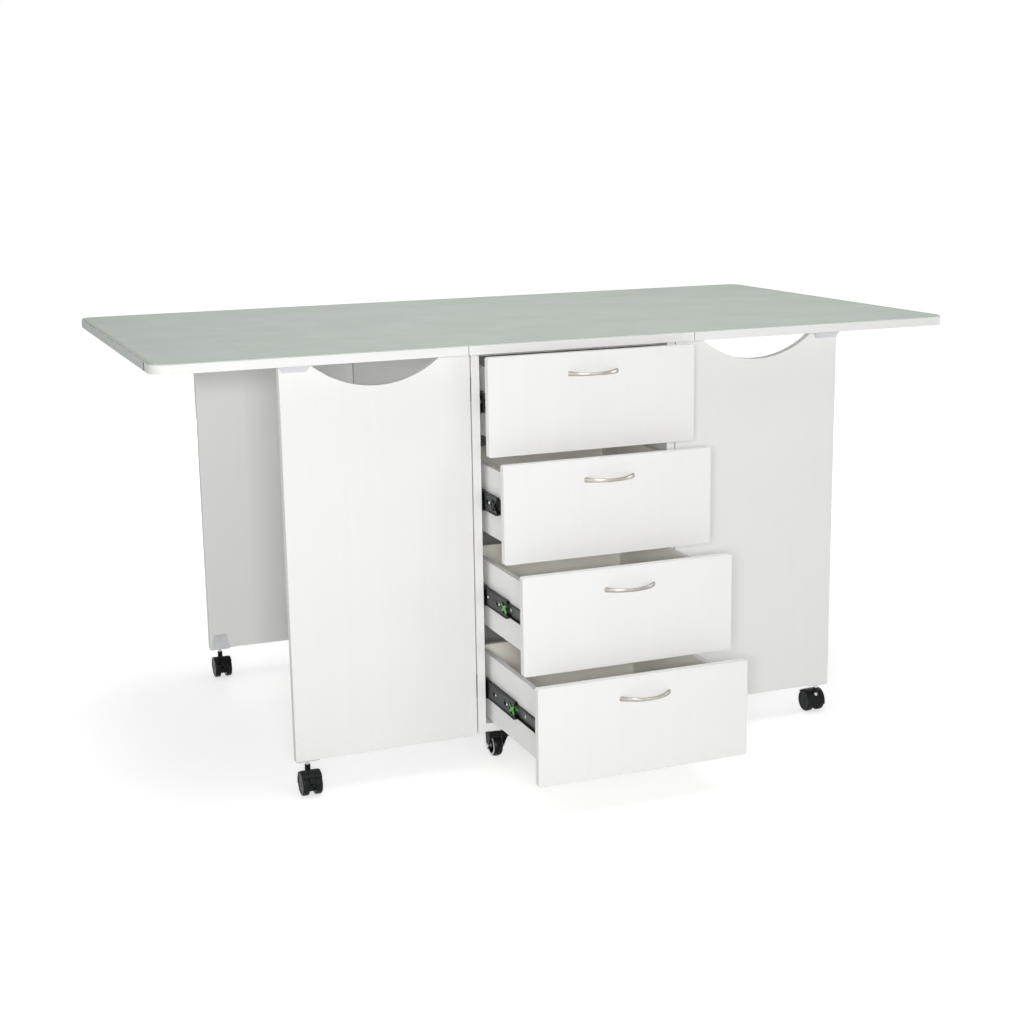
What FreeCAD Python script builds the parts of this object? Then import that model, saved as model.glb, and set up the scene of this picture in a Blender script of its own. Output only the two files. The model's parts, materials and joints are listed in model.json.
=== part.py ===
import FreeCAD, Part
import math
import os

# Folding sewing cutting table: a cabinet of drawers on casters, with a fixed centre top and two leaves
# that four swinging gates hold up. It is drawn open for work, with its drawers pulled out in steps.
# Millimetres. +X runs to the right along the table, +Y from the drawer side to the back, +Z up.

Vector = FreeCAD.Vector

# Top
table_height = 914.0  # floor to the face of the cutting mat
top_length = 1778.0
top_thickness = 18.0
top_corner_radius = 36.0
center_top_width = 508.0
leaf_joint_gap = 2.0  # between the centre top and each leaf
mat_thickness = 2.0
mat_inset = 2.0  # from the edge of the boards to the edge of the mat

# Cabinet
cabinet_width = 465.0
cabinet_depth = 880.0
cabinet_setback = 50.0  # from the front or back edge of the top to the cabinet
cabinet_floor_gap = 75.0
panel_thickness = 18.0
rail_width = 80.0
rail_setback = 60.0  # from the cabinet's front or back to its rail
shelf_count = 2
shelf_setback = 20.0

# Gates
gate_width = 398.0
gate_floor_gap = 70.0
gate_top_clearance = 0.5
handcut_width = 281.0
handcut_depth = 54.0
handcut_lip_radius = 14.0

# Gate stops
stop_length = 66.0
stop_height = 17.0
stop_thickness = 15.0
stop_slope = 9.0  # how much each end and the face draw in towards the bottom
stop_overhang = 3.0  # past the gate's outer edge
stop_clearance = 0.4

# Hinges
hinge_plate = 1.25
hinge_plate_clearance = 0.1
hinge_knuckle_radius = 3.0
hinge_pin_radius = 1.5
hinge_pin_clearance = 0.05
hinge_play = 0.4  # between the two knuckles, and round each barrel
hinge_sides = 8  # flats on a rolled knuckle
gate_hinge_length = 50.0
gate_hinge_from_bottom = 110.0  # gate's bottom to the middle of its lower hinge
gate_hinge_from_top = 76.0
hinge_wing_margin = 1.5  # from a wing's edge to the panel's edge
leaf_hinge_length = 50.0
leaf_hinge_wing = 18.0
leaf_hinge_drop = 4.0  # underside of the top to the hinge's axis

# Drawers
drawer_pulls = (76.0, 153.0, 248.0, 319.0)  # how far each drawer is drawn out, from the top one down
drawer_travel = 440.0
drawer_front_width = 462.0
drawer_front_thickness = 16.0
drawer_front_corner = 4.0
corner_flats = 3  # round each corner of a drawer front
drawer_front_floor_gap = 71.5
drawer_front_gap = 3.5
drawer_top_gap = 2.0
drawer_bumper_gap = 1.0  # closed front to the cabinet's front edges
drawer_side_below_front = 31.0  # top of the front to the top of the box side
drawer_side_above_front = 27.0  # bottom of the front to the bottom of the box side
drawer_side_thickness = 12.0
drawer_bottom_thickness = 4.0
drawer_bottom_rise = 10.0
drawer_back_drop = 12.0  # top of the sides to the top of the back
drawer_rear_room = 25.0  # closed box to the partition

# Slides
slide_length = 450.0
slide_front_setback = 2.0
slide_width = 12.7
slide_steel = 1.2
slide_cabinet_height = 45.0
slide_middle_height = 37.0
slide_drawer_height = 28.0
slide_cabinet_reach = 9.0  # how far the cabinet member's flanges stand out
slide_middle_web = 4.6  # cabinet side to the middle member's web
slide_middle_flange_start = 2.4
slide_middle_flange_end = 11.0
slide_drawer_flange = 6.6  # cabinet side to the edge of the drawer member's flanges
slide_cage_length = 200.0
slide_cage_clearance = 0.3
slide_slot_length = 22.0
slide_slot_width = 10.0
slide_slot_spacing = 64.0
slide_slot_first = 40.0  # front end of the middle member to its first slot
slide_slot_count = 2
slide_rail_slots = ((115.0, 12.0), (186.0, 52.0), (280.0, 36.0))  # member's front end to a slot, its length
slide_rail_slot_width = 8.0
slide_notch_length = 30.0  # open notch for the lever at the front end of the middle member
slide_notch_height = 22.0
lever_thickness = 2.2
lever_finger = 5.0  # width of a finger's tip
lever_hub = 3.5  # middle of the lever to the valleys between its fingers
lever_setback = 1.5

# Handles
handle_length = 113.0
handle_projection = 26.0
handle_strap = 4.5
handle_end_height = 10.0
handle_waist_height = 7.0
handle_below_top = 43.0  # top of the front to the middle of the handle
handle_flats = 12  # along the bow

# Gate casters
bracket_steel = 2.5
bracket_width = 49.0
bracket_top_width = 30.0
bracket_height = 36.0
bracket_edge = 1.0  # gate's outer edge to the bracket
stem_radius = 4.5
stem_seat_depth = 20.0  # how deep the stem stands in its socket
caster_wheel_radius = 25.0
caster_width = 42.0
caster_web = 11.0
caster_wheel_gap = 0.5
caster_trail = 18.0  # stem to axle
caster_axle_radius = 3.0
caster_axle_clearance = 0.05
caster_hood_gap = 0.8
caster_hood_wall = 2.0
caster_hood_front = -15.0  # degrees from the level of the axle, on the stem's side
caster_hood_back = 130.0
caster_hood_top = 60.0  # floor to the collar round the stem
caster_hood_sides = 9  # flats over the length of the hood
caster_collar_radius = 6.5
caster_arch_height = 12.0  # floor to the web between the wheels
caster_bevel = 5.0
caster_stem_play = 0.3

# Cabinet casters
plate_size = 50.0
plate_steel = 2.5
plate_side_inset = 55.0  # cabinet's side to the kingpin
plate_end_inset = 29.0  # cabinet's front or back to the kingpin
race_radius = 14.0
race_height = 5.0
kingpin_radius = 4.0
kingpin_nut_radius = 6.5  # to the nut's flats
kingpin_nut_height = 2.0
fork_steel = 2.5
fork_crown_length = 30.0
fork_foot_radius = 8.0
fork_wheel_gap = 5.0
fork_trail = 18.0
fork_wheel_radius = 25.0
fork_wheel_width = 20.0
fork_wheel_bevel = 3.0
fork_bolt_radius = 3.0
fork_bolt_head_radius = 5.0  # to the head's flats
fork_bolt_head = 2.5
round_sides = 24  # flats round a wheel
small_sides = 8  # flats round a collar, a bore or a ball race

# Places that follow from the sizes
top_depth = cabinet_depth + 2 * cabinet_setback
board_top = table_height - mat_thickness
board_bottom = board_top - top_thickness
half_cabinet = cabinet_width / 2
half_inside = half_cabinet - panel_thickness
cabinet_front = cabinet_setback
cabinet_back = cabinet_setback + cabinet_depth
cabinet_middle = (cabinet_front + cabinet_back) / 2
base_top = cabinet_floor_gap + panel_thickness
partition_front = cabinet_front + slide_length + drawer_rear_room

hinge_gap = 2 * hinge_plate + hinge_plate_clearance
hinge_offset = hinge_knuckle_radius + 0.3
gate_inner = half_cabinet + hinge_gap
gate_outer = gate_inner + gate_width
gate_top = board_bottom - gate_top_clearance
gate_axis_x = -half_cabinet - hinge_offset
gate_axis_y = cabinet_front + panel_thickness + hinge_offset
seam_x = center_top_width / 2

drawer_count = len(drawer_pulls)
drawer_fronts_height = board_bottom - drawer_top_gap - drawer_front_floor_gap
drawer_front_height = (drawer_fronts_height - (drawer_count - 1) * drawer_front_gap) / drawer_count
drawer_half_box = half_inside - slide_width
drawer_closed_back = cabinet_front - drawer_bumper_gap
drawer_closed_face = drawer_closed_back - drawer_front_thickness

# The origin is on the floor, under the middle of the box that holds the table as drawn.
front_reach = drawer_closed_face - max(drawer_pulls) - handle_projection
origin_y = (front_reach + top_depth) / 2

LEFT, RIGHT = -1, 1
FRONT, REAR = -1, 1
CORNERS = {
    "front_left": (LEFT, FRONT),
    "front_right": (RIGHT, FRONT),
    "rear_left": (LEFT, REAR),
    "rear_right": (RIGHT, REAR),
}
# The way each caster's wheels trail from its stem: 1 is to the back, -1 to the front.
GATE_TRAIL = {"front_left": -1, "front_right": 1, "rear_left": -1, "rear_right": 1}
UP = Vector(0, 0, 1)
ALONG = Vector(1, 0, 0)
BACK = Vector(0, 1, 0)


def save(node, *solids):
    """Write one node, moved so that the origin is under the middle of the table."""
    shape = Part.makeCompound(list(solids)) if len(solids) > 1 else solids[0].copy()
    shape.translate(Vector(0, -origin_y, 0))
    shape.exportStep("parts/%s.step" % node)


def block(x, y, z):
    """Box between the two values of each pair."""
    size = [abs(b - a) for a, b in (x, y, z)]
    return Part.makeBox(*size, Vector(min(x), min(y), min(z)))


def prism(points, along):
    """Polygon carried along a vector."""
    outline = Part.makePolygon([Vector(*p) for p in points] + [Vector(*points[0])])
    return Part.Face(outline).extrude(along)


def corners_round(start, along, radius, sides):
    """Corners of a regular polygon round an axis, measured to its flats."""
    across = BACK if abs(along.x) > 0.5 else ALONG
    other = along.cross(across)
    reach = radius / math.cos(math.pi / sides)
    turns = [2 * math.pi * (k + 0.5) / sides for k in range(sides)]
    return [start + across * (reach * math.cos(t)) + other * (reach * math.sin(t)) for t in turns]


def face_of(points):
    return Part.Face(Part.makePolygon(points + points[:1]))


def flat_sided(start, along, length, radius, sides):
    """Regular bar, such as a nut, a rolled knuckle or a collar, measured to its flats."""
    return face_of(corners_round(start, along, radius, sides)).extrude(along * length)


def turned(start, along, profile, sides):
    """Many-sided turned piece, from pairs of distance along its axis and radius to its flats."""
    rings = [corners_round(start + along * d, along, r, sides) for d, r in profile]
    faces = [face_of(rings[0]), face_of(rings[-1])]
    for low, high in zip(rings, rings[1:]):
        for k in range(sides):
            faces.append(face_of([low[k - 1], low[k], high[k], high[k - 1]]))
    solid = Part.Solid(Part.Shell(faces))
    return solid if solid.Volume > 0 else solid.reversed()


def rounded(shape, radius, chosen):
    """Fillet the edges whose middle points are chosen."""
    edges = [e for e in shape.Edges if chosen(e.CenterOfMass, e)]
    return shape.makeFillet(radius, edges)


def at_corner(shape, side, end):
    """Mirror a piece drawn at the front left to another corner of the table."""
    if side == RIGHT:
        shape = shape.mirror(Vector(0, 0, 0), ALONG)
    if end == REAR:
        shape = shape.mirror(Vector(0, cabinet_middle, 0), BACK)
    return shape


def on_side(shape, side):
    """Mirror a piece drawn on the left to the right."""
    return at_corner(shape, side, FRONT)


def upright(edge):
    """True for a straight edge along Z."""
    ends = edge.Vertexes
    return len(ends) == 2 and abs((ends[0].Point - ends[1].Point).normalize().z) > 0.999


# Top boards and mat


def top_board(inset, low, high, inner, outer):
    """Leaf-shaped slab on the left: square at the joint, rounded at its two outer corners."""
    slab = block((-outer + inset, -inner), (inset, top_depth - inset), (low, high))
    return rounded(
        slab,
        top_corner_radius - inset,
        lambda middle, edge: upright(edge) and middle.x < -(inner + outer) / 2,
    )


def center_slab(inset, low, high):
    half = seam_x - leaf_joint_gap / 2
    return block((-half, half), (inset, top_depth - inset), (low, high))


def make_top():
    leaf_inner = seam_x + leaf_joint_gap / 2
    save("center_top", center_slab(0, board_bottom, board_top))
    save("cutting_mat_center", center_slab(mat_inset, board_top, table_height))
    for name, side in (("left", LEFT), ("right", RIGHT)):
        leaf = top_board(0, board_bottom, board_top, leaf_inner, top_length / 2)
        mat = top_board(mat_inset, board_top, table_height, leaf_inner, top_length / 2)
        save(name + "_leaf", on_side(leaf, side))
        save("cutting_mat_" + name, on_side(mat, side))
        stop = gate_stop()
        save(name + "_gate_stops", at_corner(stop, side, FRONT), at_corner(stop, side, REAR))


def gate_stop():
    """Block under the leaf, just outside the gate: drawn in at both ends and at its face."""
    start = -gate_outer - stop_overhang
    end = start + stop_length
    back = cabinet_front - stop_clearance
    low = board_bottom - stop_height
    bar = prism(
        [
            (start, back, board_bottom),
            (start, back - stop_thickness, board_bottom),
            (start, back - stop_thickness + stop_slope, low),
            (start, back, low),
        ],
        Vector(stop_length, 0, 0),
    )
    outline = prism(
        [
            (start, back, board_bottom),
            (end, back, board_bottom),
            (end - stop_slope, back, low),
            (start + stop_slope, back, low),
        ],
        Vector(0, -stop_thickness, 0),
    )
    return bar.common(outline)


# Cabinet


def make_cabinet():
    depth = (cabinet_front, cabinet_back)
    inside = (-half_inside, half_inside)
    side = block((-half_cabinet, -half_inside), depth, (cabinet_floor_gap, board_bottom))
    save("cabinet_left_side", side)
    save("cabinet_right_side", on_side(side, RIGHT))
    save("cabinet_base", block(inside, depth, (cabinet_floor_gap, base_top)))
    partition_back = partition_front + panel_thickness
    save("cabinet_partition", block(inside, (partition_front, partition_back), (base_top, board_bottom)))
    front = cabinet_front + rail_setback
    rail = block(inside, (front, front + rail_width), (board_bottom - panel_thickness, board_bottom))
    save("cabinet_top_rails", rail, at_corner(rail, LEFT, REAR))
    bay = (board_bottom - base_top - shelf_count * panel_thickness) / (shelf_count + 1)
    shelves = []
    for i in range(shelf_count):
        low = base_top + bay + i * (bay + panel_thickness)
        run = (partition_back, cabinet_back - shelf_setback)
        shelves.append(block(inside, run, (low, low + panel_thickness)))
    save("rear_shelves", *shelves)


# Gates and hinges


def gate_panel():
    """Gate leg with a crescent cut in its top edge, its two lips rounded over."""
    panel = block(
        (-gate_outer, -gate_inner),
        (cabinet_front, cabinet_front + panel_thickness),
        (gate_floor_gap, gate_top),
    )
    half = handcut_width / 2
    radius = (half**2 + handcut_depth**2) / (2 * handcut_depth)
    middle_x = -(gate_inner + gate_outer) / 2
    center = Vector(middle_x, cabinet_front, gate_top + radius - handcut_depth)
    cut = panel.cut(Part.makeCylinder(radius, panel_thickness, center, BACK))
    return rounded(
        cut,
        handcut_lip_radius,
        lambda middle, edge: abs(middle.z - gate_top) < 1e-6
        and abs(edge.Length - panel_thickness) < 1e-6
        and -gate_outer + 1 < middle.x < -gate_inner - 1,
    )


def knuckle_halves(start, along, length):
    """Lift-off barrel: the fixed knuckle with its pin standing up out of it, and the bored moving one."""
    half = (length - hinge_play) / 2
    upper = start + along * (half + hinge_play)
    pin = Part.makeCylinder(hinge_pin_radius, half + hinge_play, start + along * half, along)
    fixed = flat_sided(start, along, half, hinge_knuckle_radius, hinge_sides).fuse(pin)
    moving = flat_sided(upper, along, half, hinge_knuckle_radius, hinge_sides)
    bore = flat_sided(upper, along, half, hinge_pin_radius + hinge_pin_clearance, hinge_sides)
    return fixed, moving.cut(bore)


def gate_hinge(low):
    """Lift-off hinge of the front left gate: fixed and moving half. Its wings close in the gap."""
    start = Vector(gate_axis_x, gate_axis_y, low)
    height = (low, low + gate_hinge_length)
    half = (gate_hinge_length - hinge_play) / 2
    edge = cabinet_front + hinge_wing_margin
    notch = gate_axis_y - hinge_knuckle_radius - 2 * hinge_play
    fixed_x = (-half_cabinet - hinge_plate, -half_cabinet)
    moving_x = (-gate_inner, -gate_inner + hinge_plate)
    tab = gate_axis_y - hinge_pin_radius - hinge_play
    fixed_tab = block(fixed_x, (notch, gate_axis_y), (low, low + half))
    moving_tab = block(moving_x, (notch, tab), (low + half + hinge_play, low + gate_hinge_length))
    fixed_knuckle, moving_knuckle = knuckle_halves(start, UP, gate_hinge_length)
    fixed = block(fixed_x, (edge, notch), height).fuse([fixed_tab, fixed_knuckle])
    moving = block(moving_x, (edge, notch), height).fuse([moving_tab, moving_knuckle])
    return fixed.removeSplitter(), moving.removeSplitter()


def leaf_hinge(middle):
    """Lift-off hinge under the left joint of the top, laid flat: fixed and moving half."""
    axis_z = board_bottom - leaf_hinge_drop
    low = middle - leaf_hinge_length / 2
    half = (leaf_hinge_length - hinge_play) / 2
    span = (low, low + leaf_hinge_length)
    spans = ((low, low + half), (low + half + hinge_play, low + leaf_hinge_length))
    notch = hinge_knuckle_radius + 2 * hinge_play
    plate_z = (board_bottom - hinge_plate, board_bottom)
    neck_z = (axis_z + hinge_pin_radius + hinge_play, board_bottom)
    halves = []
    knuckles = knuckle_halves(Vector(-seam_x, low, axis_z), BACK, leaf_hinge_length)
    for way, own, knuckle in zip((1, -1), spans, knuckles):
        wing = block((-seam_x + way * notch, -seam_x + way * leaf_hinge_wing), span, plate_z)
        neck = block((-seam_x + way * leaf_joint_gap / 2, -seam_x + way * notch), own, neck_z)
        halves.append(wing.fuse([neck, knuckle]).removeSplitter())
    return halves


def caster_bracket():
    """Pressed steel angle on the gate's inner face, with a tapered flange and a foot under the gate."""
    face = cabinet_front + panel_thickness
    start = -gate_outer + bracket_edge
    end = start + bracket_width
    draw_in = (bracket_width - bracket_top_width) / 2
    low = gate_floor_gap - bracket_steel
    flange = prism(
        [
            (start, face, low),
            (end, face, low),
            (end - draw_in, face, gate_floor_gap + bracket_height),
            (start + draw_in, face, gate_floor_gap + bracket_height),
        ],
        Vector(0, bracket_steel, 0),
    )
    foot = block((start, end), (cabinet_front, face), (low, gate_floor_gap))
    return flange.fuse(foot).removeSplitter()


def stem_place():
    """Middle of the front left gate's caster stem."""
    return -gate_outer + bracket_edge + bracket_width / 2, cabinet_front + panel_thickness / 2


def caster_stem():
    """Rod under the bracket, which the hood turns on."""
    x, y = stem_place()
    low = caster_hood_top - stem_seat_depth
    return Part.makeCylinder(stem_radius, gate_floor_gap - bracket_steel - low, Vector(x, y, low), UP)


def caster_hood(x, y, trail):
    """Hood of a twin-wheel caster: a web between the wheels, a mudguard over them and a stem socket."""
    axle = Vector(x, y + trail * caster_trail, caster_wheel_radius)
    inner = caster_wheel_radius + caster_hood_gap
    outer = inner + caster_hood_wall
    step = (caster_hood_back - caster_hood_front) / caster_hood_sides
    turns = [math.radians(caster_hood_front + k * step) for k in range(caster_hood_sides + 1)]

    def rim(radius, start):
        reach = radius / math.cos(math.radians(step / 2))
        places = [(-trail * reach * math.cos(t), reach * math.sin(t)) for t in turns]
        return [Vector(start, axle.y + y, axle.z + z) for y, z in places]

    half = caster_width / 2
    guard = face_of(rim(outer, x - half) + rim(inner, x - half)[::-1]).extrude(ALONG * caster_width)
    web_x = x - caster_web / 2
    arch_turn = math.asin(1 - caster_arch_height / caster_wheel_radius)
    back = axle.y + trail * caster_wheel_radius * math.cos(arch_turn)
    front = axle.y - trail * outer * math.cos(math.radians(caster_hood_front))
    feet = [Vector(web_x, back, caster_arch_height), Vector(web_x, front, caster_arch_height)]
    web = face_of(rim(outer, web_x) + feet).extrude(ALONG * caster_web)
    seat = caster_wheel_radius + math.sqrt(inner**2 - caster_trail**2)
    collar = flat_sided(Vector(x, y, seat), UP, caster_hood_top - seat, caster_collar_radius, small_sides)
    room = face_of(rim(inner, x - half) + [axle - ALONG * half]).extrude(ALONG * caster_width)
    hood = collar.cut(room).fuse([web, guard])
    socket_low = caster_hood_top - stem_seat_depth - caster_stem_play
    socket_radius = stem_radius + hinge_pin_clearance
    socket = flat_sided(Vector(x, y, socket_low), UP, caster_hood_top, socket_radius, small_sides)
    hole_radius = caster_axle_radius + caster_axle_clearance
    hole = flat_sided(axle - ALONG * half, ALONG, caster_width, hole_radius, small_sides)
    return hood.cut(socket).cut(hole).removeSplitter()


def caster_wheels(x, y, trail):
    """Twin wheels with bevelled shoulders, joined by the axle that turns in the web."""
    axle = Vector(x, y + trail * caster_trail, caster_wheel_radius)
    inner = caster_web / 2 + caster_wheel_gap
    outer = caster_width / 2
    profile = [
        (inner, caster_wheel_radius),
        (outer - caster_bevel, caster_wheel_radius),
        (outer, caster_wheel_radius - caster_bevel),
    ]
    wheels = []
    for way in (-1, 1):
        wheels.append(turned(axle, ALONG, [(way * d, r) for d, r in profile], round_sides))
    shaft = Part.makeCylinder(caster_axle_radius, 2 * inner, axle - ALONG * inner, ALONG)
    return wheels + [shaft]


def make_gates():
    panel = gate_panel()
    lows = [
        gate_floor_gap + gate_hinge_from_bottom - gate_hinge_length / 2,
        gate_top - gate_hinge_from_top - gate_hinge_length / 2,
    ]
    hinges = [gate_hinge(low) for low in lows]
    fittings = [moving for _, moving in hinges] + [caster_bracket(), caster_stem()]
    fixed_halves = []
    for corner, (side, end) in CORNERS.items():
        save(corner + "_gate", at_corner(panel, side, end))
        save(corner + "_gate_fittings", *[at_corner(piece, side, end) for piece in fittings])
        fixed_halves += [at_corner(fixed, side, end) for fixed, _ in hinges]
        x, y = stem_place()
        x = x if side == LEFT else -x
        y = y if end == FRONT else 2 * cabinet_middle - y
        save(corner + "_caster_hood", caster_hood(x, y, GATE_TRAIL[corner]))
        save(corner + "_caster_wheels", *caster_wheels(x, y, GATE_TRAIL[corner]))
    return fixed_halves


def make_leaf_hinges():
    """Hinges stand where the folded gates' hand-cuts pass under them."""
    folded_middle = gate_axis_y + hinge_gap - hinge_offset + gate_width / 2
    fixed, moving = leaf_hinge(folded_middle)
    fixed_halves = []
    for name, side in (("left", LEFT), ("right", RIGHT)):
        save(name + "_leaf_hinge_halves", *[at_corner(moving, side, end) for end in (FRONT, REAR)])
        fixed_halves += [at_corner(fixed, side, end) for end in (FRONT, REAR)]
    return fixed_halves


# Cabinet casters


def caster_plate():
    """Screw plate, ball race and kingpin with its nut, at the front left."""
    x = -half_cabinet + plate_side_inset
    y = cabinet_front + plate_end_inset
    half = plate_size / 2
    top = cabinet_floor_gap
    plate = block((x - half, x + half), (y - half, y + half), (top - plate_steel, top))
    race_low = top - plate_steel - race_height
    race = flat_sided(Vector(x, y, race_low), UP, race_height, race_radius, small_sides)
    nut_top = race_low - fork_steel - 2 * caster_stem_play
    pin = Part.makeCylinder(kingpin_radius, race_low - nut_top, Vector(x, y, nut_top), UP)
    nut = flat_sided(Vector(x, y, nut_top), -UP, kingpin_nut_height, kingpin_nut_radius, 6)
    return plate.fuse([race, pin, nut]).removeSplitter()


def caster_fork(x, y):
    """Pressed fork: a crown that turns on the kingpin, two tapered legs, and the axle with its bolt heads."""
    crown_top = cabinet_floor_gap - plate_steel - race_height - caster_stem_play
    crown_low = crown_top - fork_steel
    half_crown = fork_crown_length / 2
    inner = fork_wheel_width / 2 + fork_wheel_gap
    outer = inner + fork_steel
    crown = block((x - outer, x + outer), (y - half_crown, y + half_crown), (crown_low, crown_top))
    hole_radius = kingpin_radius + hinge_pin_clearance
    hole = flat_sided(Vector(x, y, crown_low), UP, fork_steel, hole_radius, hinge_sides)
    axle = Vector(x, y + fork_trail, fork_wheel_radius)
    legs = []
    heads = []
    for way in (-1, 1):
        start = x + way * inner
        foot = corners_round(Vector(start, axle.y, axle.z), ALONG, fork_foot_radius, small_sides)
        lower = sorted((p for p in foot if p.z < axle.z + 1e-6), key=lambda p: p.y)
        leg = face_of(
            [
                Vector(start, y + half_crown, crown_top),
                Vector(start, y - half_crown, crown_top),
                Vector(start, y - half_crown, crown_low),
            ]
            + lower
        )
        legs.append(leg.extrude(ALONG * (way * fork_steel)))
        heads.append(
            flat_sided(
                Vector(x + way * outer, axle.y, axle.z), ALONG * way, fork_bolt_head, fork_bolt_head_radius, 6
            )
        )
    bolt = Part.makeCylinder(fork_bolt_radius, 2 * inner, axle - ALONG * inner, ALONG)
    return [crown.cut(hole).fuse(legs).removeSplitter(), bolt] + heads


def fork_wheel(x, y):
    """Solid wheel with bevelled shoulders and a bore that runs on the axle bolt."""
    axle = Vector(x, y + fork_trail, fork_wheel_radius)
    half = fork_wheel_width / 2
    shoulder = fork_wheel_radius - fork_wheel_bevel
    profile = [
        (-half, shoulder),
        (-half + fork_wheel_bevel, fork_wheel_radius),
        (half - fork_wheel_bevel, fork_wheel_radius),
        (half, shoulder),
    ]
    bore_radius = fork_bolt_radius + caster_axle_clearance
    bore = flat_sided(axle - ALONG * half, ALONG, fork_wheel_width, bore_radius, small_sides)
    return turned(axle, ALONG, profile, round_sides).cut(bore)


def make_cabinet_casters():
    plate = caster_plate()
    save("cabinet_caster_plates", *[at_corner(plate, *place) for place in CORNERS.values()])
    for corner, (side, end) in CORNERS.items():
        x = side * (half_cabinet - plate_side_inset)
        y = cabinet_middle + end * (cabinet_depth / 2 - plate_end_inset)
        save(corner + "_cabinet_caster_fork", *caster_fork(x, y))
        save(corner + "_cabinet_caster_wheel", fork_wheel(x, y))


# Drawers


def drawer_front_top(i):
    return board_bottom - drawer_top_gap - i * (drawer_front_height + drawer_front_gap)


def drawer_side_heights(i):
    top = drawer_front_top(i)
    return top - drawer_front_height + drawer_side_above_front, top - drawer_side_below_front


def slide_middle(i):
    """Height of the middle of a drawer's slides."""
    return sum(drawer_side_heights(i)) / 2


def drawer_panels(i):
    """Front, two sides, back and bottom of a drawer, drawn out by its pull."""
    back = drawer_closed_back - drawer_pulls[i]
    top = drawer_front_top(i)
    half = drawer_front_width / 2
    outline = []
    for k in range(4 * (corner_flats + 1)):
        quarter = k // (corner_flats + 1)
        turn = math.radians(90 * (quarter + (k % (corner_flats + 1)) / corner_flats))
        x = half - drawer_front_corner if quarter in (0, 3) else drawer_front_corner - half
        z = top - drawer_front_corner if quarter < 2 else top - drawer_front_height + drawer_front_corner
        edge = (x + drawer_front_corner * math.cos(turn), z + drawer_front_corner * math.sin(turn))
        outline.append((edge[0], back - drawer_front_thickness, edge[1]))
    front = prism(outline, BACK * drawer_front_thickness)
    low, high = drawer_side_heights(i)
    end = back + slide_length
    inner = drawer_half_box - drawer_side_thickness
    left = block((-drawer_half_box, -inner), (back, end), (low, high))
    rear = block(
        (-inner, inner),
        (end - drawer_side_thickness, end),
        (low + drawer_bottom_rise + drawer_bottom_thickness, high - drawer_back_drop),
    )
    floor_z = low + drawer_bottom_rise
    floor = block((-inner, inner), (back, end), (floor_z, floor_z + drawer_bottom_thickness))
    return front, left, on_side(left, RIGHT), rear, floor


def bow_handle(i):
    """Arched strap that is waisted towards its middle: a plan outline and a face outline, in common."""
    face = drawer_closed_face - drawer_pulls[i]
    z = drawer_front_top(i) - handle_below_top
    half = handle_length / 2
    steps = [2 * k / handle_flats - 1 for k in range(handle_flats + 1)]

    def arch(half_span, rise):
        radius = (half_span**2 + rise**2) / (2 * rise)
        sweep = math.asin(half_span / radius)
        turns = [sweep * t for t in steps]
        low = z - handle_end_height
        return [(radius * math.sin(t), face - rise + radius * (1 - math.cos(t)), low) for t in turns]

    def waist(way):
        drop = handle_end_height - handle_waist_height
        return [(half * t, face, z + way * (handle_end_height - drop * (1 - t * t)) / 2) for t in steps]

    inner = arch(half - 2 * handle_strap, handle_projection - handle_strap)
    strap = prism(arch(half, handle_projection) + inner[::-1], UP * (2 * handle_end_height))
    band = prism(waist(1) + waist(-1)[::-1], BACK * -handle_projection)
    return strap.common(band)


# Slides


def channel(outline, y, z):
    """Section of the left slide, as pairs of distance from the cabinet side and height, carried along Y."""
    start, end = y
    return prism([(-half_inside + s, start, z + h) for s, h in outline], Vector(0, end - start, 0))


def mirrored_section(upper):
    """Close a section by mirroring its upper half below the middle."""
    return upper + [(s, -h) for s, h in reversed(upper)]


def cabinet_member(i):
    half = slide_cabinet_height / 2
    section = mirrored_section(
        [
            (0, half),
            (slide_cabinet_reach, half),
            (slide_cabinet_reach, half - slide_steel),
            (slide_steel, half - slide_steel),
        ]
    )
    start = cabinet_front + slide_front_setback
    return channel(section, (start, start + slide_length), slide_middle(i))


def middle_member(i):
    """Double-flanged member with slots, the lever in its notch, and the four ball cages in its tracks."""
    half = slide_middle_height / 2
    web = (slide_middle_web, slide_middle_web + slide_steel)
    section = mirrored_section(
        [
            (slide_middle_flange_start, half),
            (slide_middle_flange_end, half),
            (slide_middle_flange_end, half - slide_steel),
            (web[1], half - slide_steel),
        ]
    )
    left_edge = [
        (slide_middle_flange_start, -half + slide_steel),
        (web[0], -half + slide_steel),
        (web[0], half - slide_steel),
        (slide_middle_flange_start, half - slide_steel),
    ]
    start = cabinet_front + slide_front_setback - drawer_pulls[i] / 2
    z = slide_middle(i)
    member = channel(section + left_edge, (start, start + slide_length), z)
    web_x = -half_inside + web[0]
    for n in range(slide_slot_count):
        y = start + slide_slot_first + n * slide_slot_spacing
        member = member.cut(slot((web_x, y, z), slide_slot_length, slide_slot_width))
    notch_z = (z - slide_notch_height / 2, z + slide_notch_height / 2)
    member = member.cut(block((web_x, web_x + slide_steel), (start, start + slide_notch_length), notch_z))
    cages = []
    outer_low = half
    outer_high = slide_cabinet_height / 2 - slide_steel - slide_cage_clearance
    inner_low = slide_drawer_height / 2 + slide_cage_clearance
    inner_high = half - slide_steel
    end = start + slide_length
    outer_s = (slide_middle_flange_start, slide_cabinet_reach)
    inner_s = (slide_drawer_flange, slide_middle_flange_end)
    for s, heights, y in (
        (outer_s, (outer_low, outer_high), (end - slide_cage_length, end)),
        (inner_s, (inner_low, inner_high), (start, start + slide_cage_length)),
    ):
        x = tuple(-half_inside + v for v in s)
        for way in (1, -1):
            cages.append(block(x, y, tuple(z + way * h for h in heights)))
    return [member, slide_lever(start, z)] + cages


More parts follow.
